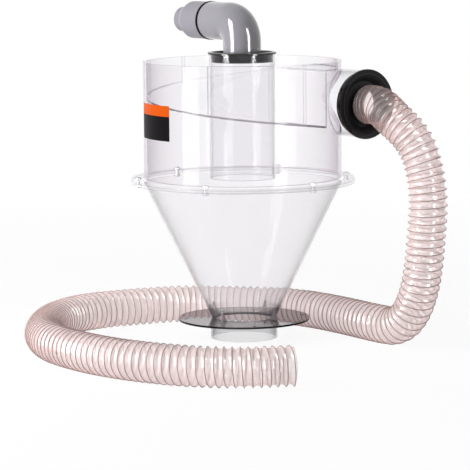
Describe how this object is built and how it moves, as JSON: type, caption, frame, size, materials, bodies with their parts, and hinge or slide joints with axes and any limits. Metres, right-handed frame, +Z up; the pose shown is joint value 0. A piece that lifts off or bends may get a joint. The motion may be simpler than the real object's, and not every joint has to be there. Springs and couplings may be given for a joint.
{
  "type": "cyclone dust separator",
  "caption": "Benchtop cyclone dust separator in clear acrylic: drum with a spiral ceiling, cone, smoked bottom flange, grey elbow outlet and a ribbed hose on the inlet.",
  "frame": {"origin": "centre of the dust collar's lower rim, on the floor", "axes": "+Z up along the drum's axis; the inlet tube lies on the +X side and opens towards -Y; the outlet elbow points along +Y"},
  "size_m": [0.5553, 0.6283, 0.5106],
  "materials": {
    "clear_acrylic": "clear cast acrylic, polished",
    "smoked_acrylic": "smoked grey acrylic, polished",
    "black_moulding": "glossy black moulded plastic",
    "elbow_grey": "grey moulded PVC, glossy",
    "reducer_grey": "light grey moulded PVC, satin",
    "seal_rubber": "black rubber",
    "hose_film": "clear ribbed film over a copper-coloured wire"
  },
  "bodies": {
    "root": {"bottom_collar": "clear_acrylic", "bottom_flange": "smoked_acrylic", "cone_shell": "clear_acrylic", "cone_flange": "clear_acrylic", "drum_flange": "clear_acrylic", "drum_shell": "clear_acrylic", "spiral_ceiling": "clear_acrylic", "closing_plate": "clear_acrylic", "outlet_tube": "clear_acrylic", "inlet_tube": "clear_acrylic", "outlet_adapter": "black_moulding", "inlet_adapter": "black_moulding", "outlet_elbow": "elbow_grey", "elbow_seal": "seal_rubber", "outlet_reducer": "reducer_grey", "gusset_1": "clear_acrylic", "gusset_2": "clear_acrylic", "gusset_3": "clear_acrylic", "gusset_4": "clear_acrylic", "ceiling_rod_1": "clear_acrylic", "ceiling_rod_2": "clear_acrylic", "ceiling_rod_3": "clear_acrylic", "ceiling_rod_4": "clear_acrylic", "ceiling_rod_5": "clear_acrylic", "ceiling_rod_6": "clear_acrylic", "hose": "hose_film"}
  },
  "joints": []
}
